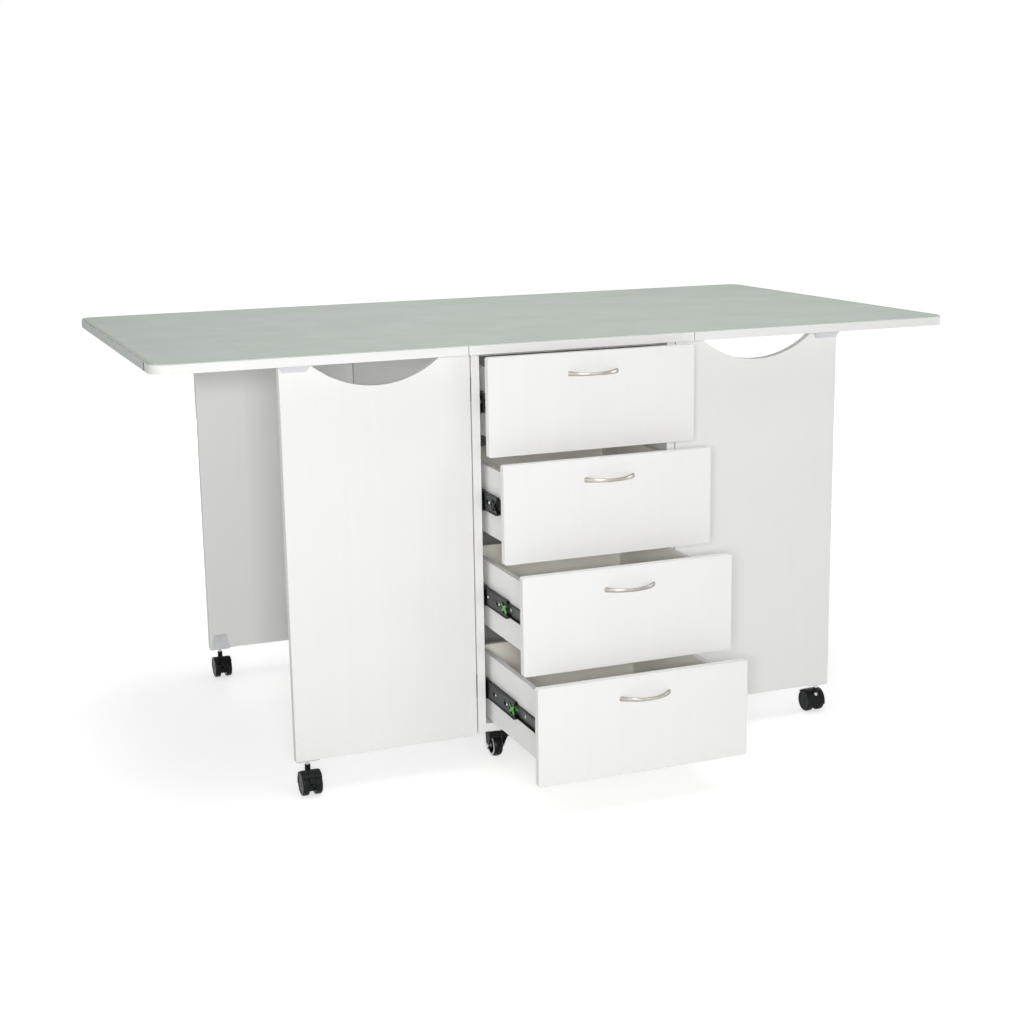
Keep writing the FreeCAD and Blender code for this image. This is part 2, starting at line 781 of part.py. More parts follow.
def slide_lever(start, z):
    """Release lever with four splayed fingers, held between the edges of the middle member's notch."""
    x = -half_inside + slide_middle_web + slide_steel - lever_thickness
    front = start + lever_setback
    rear = start + slide_notch_length
    middle = (front + rear) / 2
    half = slide_notch_height / 2
    upper = [
        (front, half),
        (front + lever_finger, half),
        (middle, lever_hub),
        (rear - lever_finger, half),
        (rear, half),
        (middle + lever_hub, 0),
    ]
    lower = [(front + rear - y, -h) for y, h in upper]
    return prism([(x, y, z + h) for y, h in upper + lower], ALONG * lever_thickness)


def slot(place, length, width):
    """Long slot with pointed ends through a member's web, from its front point."""
    x, y, z = place
    half = width / 2
    end = y + length
    outline = [
        (x, y, z),
        (x, y + half, z + half),
        (x, end - half, z + half),
        (x, end, z),
        (x, end - half, z - half),
        (x, y + half, z - half),
    ]
    return prism(outline, ALONG * slide_steel)


def drawer_member(i):
    half = slide_drawer_height / 2
    outer = slide_width
    inner = slide_width - slide_steel
    section = [
        (outer, half),
        (slide_drawer_flange, half),
        (slide_drawer_flange, half - slide_steel),
        (inner, half - slide_steel),
        (inner, -half + slide_steel),
        (slide_drawer_flange, -half + slide_steel),
        (slide_drawer_flange, -half),
        (outer, -half),
    ]
    start = drawer_closed_back - drawer_pulls[i] + slide_front_setback
    z = slide_middle(i)
    member = channel(section, (start, start + slide_length - 2 * slide_front_setback), z)
    for first, length in slide_rail_slots:
        place = (-half_inside + inner, start + first, z)
        member = member.cut(slot(place, length, slide_rail_slot_width))
    return member


def make_drawers():
    cabinet_members = []
    for i in range(drawer_count):
        name = "drawer_%d" % (i + 1)
        save(name, *drawer_panels(i))
        save(name + "_handle", bow_handle(i))
        rail = drawer_member(i)
        save(name + "_slide_rails", rail, on_side(rail, RIGHT))
        middle = middle_member(i)
        save(name + "_middle_members", *middle, *[on_side(piece, RIGHT) for piece in middle])
        member = cabinet_member(i)
        cabinet_members += [member, on_side(member, RIGHT)]
    save("slide_cabinet_members", *cabinet_members)


def main():
    os.makedirs("parts", exist_ok=True)
    make_top()
    make_cabinet()
    save("hinge_fixed_halves", *make_gates(), *make_leaf_hinges())
    make_cabinet_casters()
    make_drawers()


main()
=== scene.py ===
import json
import math

import bmesh
import bpy
import numpy as np
from mathutils import Matrix, Vector


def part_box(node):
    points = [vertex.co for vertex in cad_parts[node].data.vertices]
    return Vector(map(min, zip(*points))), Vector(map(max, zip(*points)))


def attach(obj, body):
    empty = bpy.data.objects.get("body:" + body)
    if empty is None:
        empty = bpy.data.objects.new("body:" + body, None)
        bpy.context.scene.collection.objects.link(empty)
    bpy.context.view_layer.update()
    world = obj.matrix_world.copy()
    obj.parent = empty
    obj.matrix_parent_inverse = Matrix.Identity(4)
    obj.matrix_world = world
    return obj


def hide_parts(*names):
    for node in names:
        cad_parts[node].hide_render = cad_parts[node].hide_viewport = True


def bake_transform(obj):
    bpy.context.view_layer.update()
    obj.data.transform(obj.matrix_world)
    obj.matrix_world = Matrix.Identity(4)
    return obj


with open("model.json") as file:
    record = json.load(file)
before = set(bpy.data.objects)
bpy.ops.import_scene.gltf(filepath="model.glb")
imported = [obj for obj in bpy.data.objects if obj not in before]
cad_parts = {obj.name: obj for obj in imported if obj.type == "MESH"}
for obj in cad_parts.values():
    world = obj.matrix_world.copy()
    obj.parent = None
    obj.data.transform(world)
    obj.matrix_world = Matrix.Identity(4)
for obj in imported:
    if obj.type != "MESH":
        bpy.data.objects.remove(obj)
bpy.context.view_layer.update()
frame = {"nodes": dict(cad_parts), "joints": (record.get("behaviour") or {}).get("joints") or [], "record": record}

MM = 0.001
X, Y, Z = np.eye(3)
CORNERS = ("front_left", "front_right", "rear_left", "rear_right")
JOINTS = {joint["name"]: joint for joint in frame["joints"]}
DRAWERS = (1, 2, 3, 4)


# Places


def extent(node):
    """Lowest and highest corner of a node, as arrays."""
    low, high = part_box(node)
    return np.array(low), np.array(high)


def joint_place(name):
    """Place of a joint, as an array."""
    return np.array(JOINTS[name]["pos_m"])


# Front edge of the top, and the middle of the gap between the centre top and a leaf
SEAM_GAP = 2 * MM
TOP_FRONT = extent("center_top")[0][1]
SEAM = extent("center_top")[1][0] + SEAM_GAP / 2

# Mat: its rounded corners, the width of the painted shade along its edges, and half of the stretch over a seam
# that has fine rows
MAT_CORNER, MAT_EDGE_SHADE_WIDTH, MAT_BEND = 34 * MM, 9 * MM, 20 * MM

# Drawer box: half its width, the thickness of its sides and of its front
BOX_HALF, BOX_SIDE, DRAWER_FRONT = 201.8 * MM, 12 * MM, 16 * MM

# Drawers whose slides have green levers and tongues. The others' are black.
GREEN_LEVERS = (3, 4)

# Rivets in a middle member's slots, from its front end
SLOT_RIVETS = (46 * MM, 110 * MM)

# Corners of a section with four sides, in pairs of half widths
SQUARE = np.array(((-1, -1), (1, -1), (1, 1), (-1, 1)))


# Surfaces


def grid(points, wrap=False):
    """Quads over a grid of points, rows by columns. With wrap, the last column joins the first."""
    rows, columns = points.shape[:2]
    index = np.arange(rows * columns).reshape(rows, columns)
    if wrap:
        index = np.concatenate((index, index[:, :1]), axis=1)
    quads = np.stack((index[:-1, :-1], index[:-1, 1:], index[1:, 1:], index[1:, :-1]), axis=-1)
    return points.reshape(-1, 3), [quads.reshape(-1, 4)]


def tube(points):
    """Closed tube through rings of points, one ring a row, with a flat cap on its first and last ring."""
    flat, faces = grid(points, wrap=True)
    ring = np.arange(points.shape[1])
    last = ring + (points.shape[0] - 1) * points.shape[1]
    return flat, faces + [ring[None, ::-1], last[None, :]]


def lathe(center, axis, profile, count=72):
    """Turned form, for pairs (d, r) along a profile.

    A point is center + axis * d + r * (across * cos t + other * sin t), with t all the way round.
    """
    across = Y if abs(axis[0]) > 0.5 else X
    other = np.cross(axis, across)
    turn = np.linspace(0, 2 * np.pi, count, endpoint=False)
    circle = np.cos(turn)[:, None] * across + np.sin(turn)[:, None] * other
    profile = np.asarray(profile, float)
    return tube(center + profile[:, :1, None] * axis + profile[:, 1:, None] * circle)


def plate(outline, origin, right, up, depth):
    """Flat plate: its outline, in pairs (right, up), carried along right x up by depth."""
    outline = np.asarray(outline, float)
    face = origin + outline[:, :1] * right + outline[:, 1:] * up
    back = face + np.cross(right, up) * depth
    return tube(np.stack((face, back)))


def arc(center, radius, start, end, count):
    """Points of an arc in pairs: center + radius * (cos t, sin t), with t from start to end in degrees.

    A pair of radii makes it part of an ellipse.
    """
    t = np.radians(np.linspace(start, end, count))
    return np.asarray(center) + np.asarray(radius) * np.stack((np.cos(t), np.sin(t)), axis=1)


def from_face(face, rows):
    """Profile for a lathe from rows of depth below a face, or above it where negative, and radius, in mm."""
    depth, radius = np.array(rows).T * MM
    return np.stack((face - depth, radius), axis=1)


def piece(name, shells, material, body=None, sharp=35.0):
    """One object from shells of (points, faces), with outward faces and smooth shading up to an angle."""
    points, loops, sizes, start = [], [], [], 0
    for shell_points, shell_faces in shells:
        for faces in shell_faces:
            loops.append((faces + start).ravel())
            sizes.append(np.full(len(faces), faces.shape[1]))
        points.append(shell_points)
        start += len(shell_points)
    points, loops, sizes = np.concatenate(points), np.concatenate(loops), np.concatenate(sizes)
    mesh = bpy.data.meshes.new(name)
    mesh.vertices.add(len(points))
    mesh.vertices.foreach_set("co", points.astype(np.float32).ravel())
    mesh.loops.add(len(loops))
    mesh.loops.foreach_set("vertex_index", loops.astype(np.int32))
    mesh.polygons.add(len(sizes))
    mesh.polygons.foreach_set("loop_start", (np.cumsum(sizes) - sizes).astype(np.int32))
    mesh.update(calc_edges=True)
    shape = bmesh.new()
    shape.from_mesh(mesh)
    bmesh.ops.recalc_face_normals(shape, faces=shape.faces)
    shape.to_mesh(mesh)
    shape.free()
    mesh.shade_smooth()
    mesh.set_sharp_from_angle(angle=math.radians(sharp))
    mesh.materials.append(material)
    made = bpy.data.objects.new(name, mesh)
    bpy.context.scene.collection.objects.link(made)
    if body:
        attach(made, body)
    return made


# Finishes


def node_group(name, inputs, outputs):
    """Empty shader group with float or vector inputs, given as (name, type, default), and its end nodes."""
    group = bpy.data.node_groups.new(name, "ShaderNodeTree")
    for label, kind, value in inputs:
        socket = group.interface.new_socket(label, in_out="INPUT", socket_type=kind)
        if value is not None:
            socket.default_value = value
    for label, kind in outputs:
        group.interface.new_socket(label, in_out="OUTPUT", socket_type=kind)
    return group, group.nodes.new("NodeGroupInput"), group.nodes.new("NodeGroupOutput")


def add(tree, kind, links=(), **values):
    """Node with properties or socket values by name, and links given as (output socket, input name)."""
    made = tree.nodes.new(kind)
    for key, value in values.items():
        if hasattr(made, key):
            setattr(made, key, value)
        else:
            made.inputs[key.replace("_", " ")].default_value = value
    for source, target in links:
        tree.links.new(source, made.inputs[target])
    return made


def make_grain_group():
    """Embossed ash: fine streaks drawn out along one direction, with broader bands under them."""
    group, start, end = node_group(
        "ash_grain",
        [("Vector", "NodeSocketVector", None), ("Stretch", "NodeSocketVector", (1.0, 1.0, 0.03))],
        [("Tone", "NodeSocketFloat"), ("Height", "NodeSocketFloat")],
    )
    ends = [(start.outputs["Vector"], 0), (start.outputs["Stretch"], 1)]
    drawn = add(group, "ShaderNodeVectorMath", ends, operation="MULTIPLY")
    along = [(drawn.outputs[0], "Vector")]
    streak = add(group, "ShaderNodeTexNoise", along, Scale=520.0, Detail=5.0, Roughness=0.7)
    band = add(group, "ShaderNodeTexNoise", along, Scale=60.0, Detail=3.0, Roughness=0.5)
    pair = [(streak.outputs["Fac"], 0), (band.outputs["Fac"], 1)]
    both = add(group, "ShaderNodeMath", pair, operation="MULTIPLY")
    group.links.new(both.outputs[0], end.inputs["Tone"])
    group.links.new(streak.outputs["Fac"], end.inputs["Height"])
    return group


def make_stipple_group():
    """Moulded or sprayed skin: an even fine stipple, with a slow drift that makes gloss vary."""
    group, start, end = node_group(
        "fine_stipple",
        [("Vector", "NodeSocketVector", None), ("Scale", "NodeSocketFloat", 900.0)],
        [("Drift", "NodeSocketFloat"), ("Height", "NodeSocketFloat")],
    )
    where, scale = (start.outputs["Vector"], "Vector"), (start.outputs["Scale"], "Scale")
    stipple = add(group, "ShaderNodeTexNoise", [where, scale], Detail=2.0, Roughness=0.5)
    drift = add(group, "ShaderNodeTexNoise", [where], Scale=9.0, Detail=4.0, Roughness=0.6)
    group.links.new(stipple.outputs["Fac"], end.inputs["Height"])
    group.links.new(drift.outputs["Fac"], end.inputs["Drift"])
    return group


GRAIN = make_grain_group()
STIPPLE = make_stipple_group()

# Sockets of a Mix node that mixes colours: its factor, its two colours and its result
MIX_FACTOR, MIX_A, MIX_B, MIX_RESULT = 0, 6, 7, 2


def finish_tree(name, **principled):
    """New material: its tree, its Principled BSDF with plain values set, and its Object coordinates."""
    made = bpy.data.materials.new(name)
    made.use_nodes = True
    tree = made.node_tree
    shader = tree.nodes["Principled BSDF"]
    for key, value in principled.items():
        shader.inputs[key.replace("_", " ")].default_value = value
    where = tree.nodes.new("ShaderNodeTexCoord").outputs["Object"]
    return made, tree, shader, where


def two_tone(tree, shader, mask, tones, span=(0.0, 1.0)):
    """Base colour that runs from a dark to a light tone as a mask runs over a span."""
    ramp = add(tree, "ShaderNodeValToRGB", [(mask, "Fac")])
    for stop, place, tone in zip(ramp.color_ramp.elements, span, tones):
        stop.position = place
        stop.color = (*tone, 1.0)
    tree.links.new(ramp.outputs["Color"], shader.inputs["Base Color"])


def gloss_span(tree, shader, mask, gloss):
    """Roughness that drifts between two values with a mask."""
    drift = add(tree, "ShaderNodeMapRange", [(mask, "Value")], To_Min=gloss[0], To_Max=gloss[1])
    tree.links.new(drift.outputs["Result"], shader.inputs["Roughness"])


def relief(tree, shader, height, strength, distance, edge=0.0):
    """Bump from a height, over edges that are eased by a small radius."""
    links = [(height, "Height")]
    if edge:
        eased = add(tree, "ShaderNodeBevel", samples=6, Radius=edge)
        links.append((eased.outputs["Normal"], "Normal"))
    bump = add(tree, "ShaderNodeBump", links, Strength=strength, Distance=distance)
    tree.links.new(bump.outputs["Normal"], shader.inputs["Normal"])


def board_finish(name, stretch, edge):
    """White melamine with an embossed grain that runs where stretch is small."""
    made, tree, shader, where = finish_tree(name, Specular_IOR_Level=0.35)
    grain = add(tree, "ShaderNodeGroup", [(where, "Vector")], node_tree=GRAIN, Stretch=stretch)
    two_tone(tree, shader, grain.outputs["Tone"], WHITE_TONES, span=(0.12, 0.4))
    gloss_span(tree, shader, grain.outputs["Height"], gloss=(0.42, 0.58))
    relief(tree, shader, grain.outputs["Height"], strength=0.07, distance=0.2 * MM, edge=edge)
    return made


def stipple_finish(name, tones, gloss, scale, bump, edge=0.0, **principled):
    """Moulded, sprayed or plated skin: two close tones, a drifting gloss and a fine stipple."""
    made, tree, shader, where = finish_tree(name, **principled)
    skin = add(tree, "ShaderNodeGroup", [(where, "Vector")], node_tree=STIPPLE, Scale=scale)
    two_tone(tree, shader, skin.outputs["Drift"], tones, span=(0.3, 0.7))
    gloss_span(tree, shader, skin.outputs["Drift"], gloss)
    relief(tree, shader, skin.outputs["Height"], strength=bump, distance=0.1 * MM, edge=edge)
    return made


def brushed_finish(name, tones, gloss, stretch):
    """Metal brushed along one direction: long fine scratches in tone, gloss and relief."""
    made, tree, shader, where = finish_tree(name, Metallic=1.0)
    brushed = add(tree, "ShaderNodeGroup", [(where, "Vector")], node_tree=GRAIN, Stretch=stretch)
    two_tone(tree, shader, brushed.outputs["Tone"], tones, span=(0.1, 0.4))
    gloss_span(tree, shader, brushed.outputs["Height"], gloss)
    relief(tree, shader, brushed.outputs["Height"], strength=0.15, distance=0.05 * MM)
    return made


def tone_in_box(made, box, tones, inside=True):
    """Second pair of tones inside a box of Object coordinates, or outside it.

    For each axis the box gives a middle and a half width. The mask is the product of |p - middle| <= half.
    """
    tree = made.node_tree
    shader = tree.nodes["Principled BSDF"]
    first = shader.inputs["Base Color"].links[0].from_socket
    grain = tree.nodes["Color Ramp"].inputs["Fac"].links[0].from_socket
    where = tree.nodes.new("ShaderNodeTexCoord").outputs["Object"]
    axes = add(tree, "ShaderNodeSeparateXYZ", [(where, "Vector")])
    mask = None
    for axis, (middle, half) in box.items():
        band = add(tree, "ShaderNodeMath", [(axes.outputs[axis], 0)], operation="COMPARE")
        band.inputs[1].default_value, band.inputs[2].default_value = middle, half
        if mask:
            band = add(tree, "ShaderNodeMath", [(band.outputs[0], 0), (mask, 1)], operation="MULTIPLY")
        mask = band.outputs[0]
    two_tone(tree, shader, grain, tones)
    second = shader.inputs["Base Color"].links[0].from_socket
    beyond, within = (first, second) if inside else (second, first)
    links = [(mask, MIX_FACTOR), (beyond, MIX_A), (within, MIX_B)]
    both = add(tree, "ShaderNodeMix", links, data_type="RGBA")
    tree.links.new(both.outputs[MIX_RESULT], shader.inputs["Base Color"])


# Tones of each finish, a dark and a light one
WHITE_TONES = ((0.795, 0.793, 0.783), (0.810, 0.808, 0.798))
# Painted light: inside the drawer boxes, lighter than the outer board to brighten their shade
PAINTED_LIGHT_INSIDE_TONES = ((0.85, 0.825, 0.755), (0.88, 0.855, 0.785))
# Painted shade on the left leaf's end face, which is white board in shade
PAINTED_END_SHADE_TONES = ((0.555, 0.595, 0.565), (0.57, 0.61, 0.58))
BAND_JOINT_TONES = ((0.03, 0.03, 0.03), (0.05, 0.05, 0.05))
MAT_TONES = ((0.545, 0.605, 0.545), (0.609, 0.669, 0.609))
# Painted shade along the mat's edges, for the shadow line where the mat meets the board
PAINTED_MAT_EDGE_SHADE_TONES = ((0.5, 0.556, 0.5), (0.535, 0.591, 0.535))
RAIL_TONES = ((0.075, 0.08, 0.083), (0.115, 0.12, 0.123))
SLIDE_TONES = ((0.03, 0.034, 0.036), (0.06, 0.065, 0.068))
# Painted shade: black on the slide members' flanges, for the shade in their channels
PAINTED_FLANGE_SHADE_TONES = ((0.005, 0.005, 0.005), (0.008, 0.008, 0.008))
ZINC_TONES = ((0.45, 0.46, 0.47), (0.62, 0.63, 0.64))
HINGE_TONES = ((0.10, 0.10, 0.10), (0.17, 0.17, 0.165))
NICKEL_TONES = ((0.27, 0.25, 0.22), (0.46, 0.44, 0.40))
MOULDING_TONES = ((0.006, 0.007, 0.007), (0.012, 0.013, 0.013))
SPRAY_TONES = ((0.004, 0.004, 0.004), (0.010, 0.010, 0.010))
STOP_TONES = ((0.60, 0.605, 0.64), (0.68, 0.685, 0.715))
LEVER_TONES = ((0.07, 0.36, 0.05), (0.13, 0.50, 0.10))
# Painted shade: near black in the caster hoods' eyelet holes
EYELET_HOLE_SHADE_TONES = ((0.001, 0.001, 0.001), (0.002, 0.002, 0.002))
RING_TONES = ((0.80, 0.80, 0.79), (0.86, 0.86, 0.85))
BOLT_TONES = ((0.7, 0.7, 0.69), (0.82, 0.82, 0.81))

# Ways that grain runs, and the eased edges of the cabinet's boards and of the top's
UPRIGHT, LENGTHWISE = (1.0, 1.0, 0.025), (0.025, 1.0, 1.0)
CABINET_EDGE, TOP_EDGE = 0.6 * MM, 0.8 * MM

# Boxes of tone_in_box: how far one reaches past a face, and half the length of one with an open end
SKIN, OPEN_END = 0.2 * MM, 1.0

# Joint of the left leaf's edge band, from the leaf's front, and its width
BAND_JOINT, BAND_JOINT_WIDTH = 76 * MM, 12 * MM

# Flanges of a slide member, and the middle and half height of the stretch with the caster brackets alone
FLANGE = 3 * MM
BRACKET_MIDDLE, BRACKET_HALF = 90 * MM, 60 * MM


def mat_finish():
    """Grey-green sheet with painted shade along its edges: a darker band outside a box that is smaller than the
    whole mat.
    """
    finish = stipple_finish(
        "cutting_mat_green", MAT_TONES, gloss=(0.75, 0.9), scale=700.0, bump=0.1, Specular_IOR_Level=0.18
    )
    low, high = extent("cutting_mat_left")[0], extent("cutting_mat_right")[1]
    middle, half = (low + high) / 2, (high - low) / 2 - MAT_EDGE_SHADE_WIDTH
    field = {"X": (middle[0], half[0]), "Y": (middle[1], half[1])}
    tone_in_box(finish, field, PAINTED_MAT_EDGE_SHADE_TONES, inside=False)
    return finish


def end_shade_and_joint_finish(name):
    """White board with painted shade on the leaf's outer end, behind a dark joint near the front: the end's white
    edge band is darkened to stand in for the shade on it.
    """
    low = extent(name)[0]
    finish = board_finish(name + "_board", LENGTHWISE, TOP_EDGE)
    end, joint = (low[0], SKIN), low[1] + BAND_JOINT
    # Painted shade: the end face behind the joint is darkened
    tone_in_box(finish, {"X": end, "Y": (joint + OPEN_END, OPEN_END)}, PAINTED_END_SHADE_TONES)
    tone_in_box(finish, {"X": end, "Y": (joint, BAND_JOINT_WIDTH / 2)}, BAND_JOINT_TONES)
    return finish


def drawer_finish(name):
    """White board with a lighter, warmer tone inside the box, behind the drawer's front and between its sides. The
    lighter part is painted light, which brightens the shaded inside.
    """
    finish = board_finish(name + "_board", UPRIGHT, CABINET_EDGE)
    front_back = extent(name)[0][1] + DRAWER_FRONT - SKIN
    inside = {"X": (0.0, BOX_HALF - BOX_SIDE + SKIN), "Y": (front_back + OPEN_END, OPEN_END)}
    tone_in_box(finish, inside, PAINTED_LIGHT_INSIDE_TONES)
    return finish


def slide_finish(name, tones):
    """Dark zinc of the slides."""
    return stipple_finish(name, tones, gloss=(0.3, 0.45), scale=300.0, bump=0.1, Metallic=0.9)


def slide_member_finish(name, tones):
    """Dark zinc with flanges painted black above and below the member's web: painted shade of the slide's
    channels.
    """
    low, high = extent(name)
    finish = slide_finish(name + "_zinc", tones)
    # Painted shade on the flanges, outside the web
    web = {"Z": ((low[2] + high[2]) / 2, (high[2] - low[2]) / 2 - FLANGE)}
    tone_in_box(finish, web, PAINTED_FLANGE_SHADE_TONES, inside=False)
    return finish


def zinc_finish(name):
    """Bright zinc of plates and brackets."""
    return stipple_finish(name, ZINC_TONES, gloss=(0.28, 0.45), scale=260.0, bump=0.1, Metallic=1.0)


def gate_fitting_finish(name):
    """Bright zinc at the height of the caster bracket, and dark zinc at the hinges."""
    finish = zinc_finish(name + "_zinc")
    tone_in_box(finish, {"Z": (BRACKET_MIDDLE, BRACKET_HALF)}, HINGE_TONES, inside=False)
    return finish


white_upright = board_finish("white_board_upright", UPRIGHT, CABINET_EDGE)
white_lengthwise = board_finish("white_board_lengthwise", LENGTHWISE, TOP_EDGE)
mat_green = mat_finish()
slide_zinc = slide_finish("slide_dark_zinc", SLIDE_TONES)
zinc = zinc_finish("zinc_plate")
hinge_dark = stipple_finish(
    "hinge_dark_zinc", HINGE_TONES, gloss=(0.35, 0.5), scale=300.0, bump=0.1, Metallic=0.9
)
nickel = brushed_finish("brushed_nickel", NICKEL_TONES, gloss=(0.24, 0.4), stretch=LENGTHWISE)
black_moulded = stipple_finish(
    "black_moulding", MOULDING_TONES, gloss=(0.25, 0.4), scale=900.0, bump=0.15, edge=0.4 * MM,
    Specular_IOR_Level=0.12,
)
black_sprayed = stipple_finish(
    "black_spray", SPRAY_TONES, gloss=(0.35, 0.5), scale=600.0, bump=0.12, edge=0.3 * MM,
    Specular_IOR_Level=0.12,
)
stop_white = stipple_finish(
    "stop_white", STOP_TONES, gloss=(0.25, 0.35), scale=500.0, bump=0.05, edge=1.2 * MM
)
lever_green = stipple_finish("lever_green", LEVER_TONES, gloss=(0.3, 0.45), scale=500.0, bump=0.08)
hole_painted_shade = stipple_finish(
    "eyelet_black", EYELET_HOLE_SHADE_TONES, gloss=(0.7, 0.8), scale=900.0, bump=0.05, Specular_IOR_Level=0.02
)
ring_grey = stipple_finish("wheel_ring_grey", RING_TONES, gloss=(0.35, 0.5), scale=500.0, bump=0.06)
bright_bolt = stipple_finish(
    "bright_bolt", BOLT_TONES, gloss=(0.2, 0.3), scale=400.0, bump=0.05, Metallic=0.45
)

SLOT_FINISHES = {
    "white_board": white_upright,
    "cutting_mat": mat_green,
    "slide_steel": slide_zinc,
    "zinc_steel": zinc,
    "brushed_nickel": nickel,
    "black_plastic": black_moulded,
    "black_steel": black_sprayed,
    "white_plastic": stop_white,
}
LENGTHWISE_BOARDS = ("center_top", "right_leaf", "cabinet_top_rails", "rear_shelves")
DRAWER_NODES = ["drawer_%d" % i for i in DRAWERS]


def node_finish(name, slot):
    """Finish of a carried-over node: its own, that of the way its boards run, or its slot's."""
    if name == "left_leaf":
        return end_shade_and_joint_finish(name)
    if name in DRAWER_NODES:
        return drawer_finish(name)
    if name in LENGTHWISE_BOARDS:
        return white_lengthwise
    if name.endswith("_slide_rails"):
        return slide_member_finish(name, RAIL_TONES)
    if name.endswith("_middle_members"):
        return slide_member_finish(name, SLIDE_TONES)
    if name.endswith("_gate_fittings"):
        return gate_fitting_finish(name)
    if name == "hinge_fixed_halves":
        return hinge_dark
    return SLOT_FINISHES[slot]


def dress():
    """Give every carried-over node its finish."""
    for part in frame["record"]["subparts"]:
        node = frame["nodes"][part["node"]]
        node.data.materials.clear()
        node.data.materials.append(node_finish(part["node"], part["material_slot"]))


# Pieces


def cutting_mat(name, side):
    """Half of the mat, from the table's middle to one end, in one sheet over the joint of the leaf.

    Its plan is x = side * u for u from 0 to the end, and y runs between two edges that draw in by
    r - sqrt(r^2 - (u - u0)^2) over the last r of u, which rounds the outer corners.
    """
    low, high = extent(name)
    end = max(abs(low[0]), abs(high[0]))
    rounding = end - MAT_CORNER
    turn = np.linspace(0, np.pi / 2, 19)
    u = np.concatenate(
        (
            np.linspace(0, SEAM - MAT_BEND, 8)[:-1],
            np.linspace(SEAM - MAT_BEND, SEAM + MAT_BEND, 17)[:-1],
            np.linspace(SEAM + MAT_BEND, rounding, 12)[:-1],
            rounding + MAT_CORNER * np.sin(turn),
        )
    )
    past = np.clip(u - rounding, 0, MAT_CORNER)
    draw = MAT_CORNER - np.sqrt(np.maximum(MAT_CORNER**2 - past**2, 0))
    front, back = low[1] + draw, high[1] - draw
    y = front[:, None] + (back - front)[:, None] * np.linspace(0, 1, 25)
    x = np.broadcast_to(side * u[:, None], y.shape)
    top = np.stack((x, y, np.full_like(y, high[2])), axis=-1)
    bottom = top - Z * (high[2] - low[2])
    rows, columns = y.shape
    count = rows * columns
    index = np.arange(count).reshape(rows, columns)
    rim = np.concatenate((index[0], index[1:, -1], index[-1, -2::-1], index[-2:0:-1, 0]))
    after = np.roll(rim, -1)
    faces = grid(top)[1][0]
    walls = np.stack((rim, after, after + count, rim + count), axis=1)
    points = np.concatenate((top.reshape(-1, 3), bottom.reshape(-1, 3)))
    made = piece(name + "_sheet", [(points, [faces, faces[:, ::-1] + count, walls])], mat_green)
    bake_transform(made)
    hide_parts(name)
    return made


def bow_handle(i):
    """Bow pull: between an outer and an inner arc, both from the drawer's face and back to it.

    At t from -1 to 1, the middle of the strap is the mean of the two arcs and its half thickness half
    their difference. The section is a rounded oblong, cos and sin to the power 2 / squareness, and its
    half height grows from the waist's to the ends' with t^2.
    """
    node = "drawer_%d_handle" % i
    low, high = extent(node)
    half, rise, face = (high[0] - low[0]) / 2, high[1] - low[1], high[1]
    z = (low[2] + high[2]) / 2
    strap, waist, squareness = 4.5 * MM, 6.5 * MM, 3.2
    foot = 1.7 * strap
    t = np.linspace(-1, 1, 65)

    def bow(span, height):
        radius = (span**2 + height**2) / (2 * height)
        angle = t * math.asin(span / radius)
        y = face - radius * np.cos(angle) + radius - height
        return np.stack((radius * np.sin(angle), y, z + 0 * t), axis=1)

    outer, inner = bow(half, rise), bow(half - foot, rise - strap)
    s = np.linspace(0, 2 * np.pi, 28, endpoint=False)
    across, up = (np.sign(wave) * np.abs(wave) ** (2 / squareness) for wave in (np.cos(s), np.sin(s)))
    height = waist / 2 + ((high[2] - low[2]) / 2 - waist / 2) * t**2
    middle, thick = (outer + inner) / 2, (outer - inner) / 2
    rings = middle[:, None] + thick[:, None] * across[:, None] + height[:, None, None] * up[:, None] * Z
    made = piece(node + "_bow", [tube(rings)], nickel, "drawer_%d" % i, sharp=50.0)
    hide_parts(node)


def caster_wheels(corner):
    """Twin wheels turned about X, with an axle between them.

    Each has a flat tread, a small lip inside, a shoulder that is a quarter ellipse, and a dished disc.
    """
    node = corner + "_caster_wheels"
    low, high = extent(node)
    axle = joint_place(corner + "_caster_roll")
    radius, outer, inner = axle[2], (high[0] - low[0]) / 2, 7 * MM
    bore, lip, shoulder_wide, shoulder_tall = 3 * MM, 2 * MM, 3.2 * MM, 4 * MM
    inside = arc((inner + lip, radius - lip), lip, 180, 90, 12)
    shoulder_middle = (outer - shoulder_wide, radius - shoulder_tall)
    shoulder = arc(shoulder_middle, (shoulder_wide, shoulder_tall), 90, 0, 12)
    disc = from_face(outer, ((0.1, 19.4), (0.9, 18.8), (1.1, 7), (0.5, 6.2), (0.4, 1)))
    profile = np.concatenate(([(inner, bore)], inside, shoulder, disc))
    shells = [lathe(axle, way * X, profile) for way in (-1, 1)]
    shells.append(lathe(axle - inner * X, X, [(0, bore), (2 * inner, bore)], count=32))
    made = piece(node + "_moulded", shells, black_moulded, node)
    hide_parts(node)


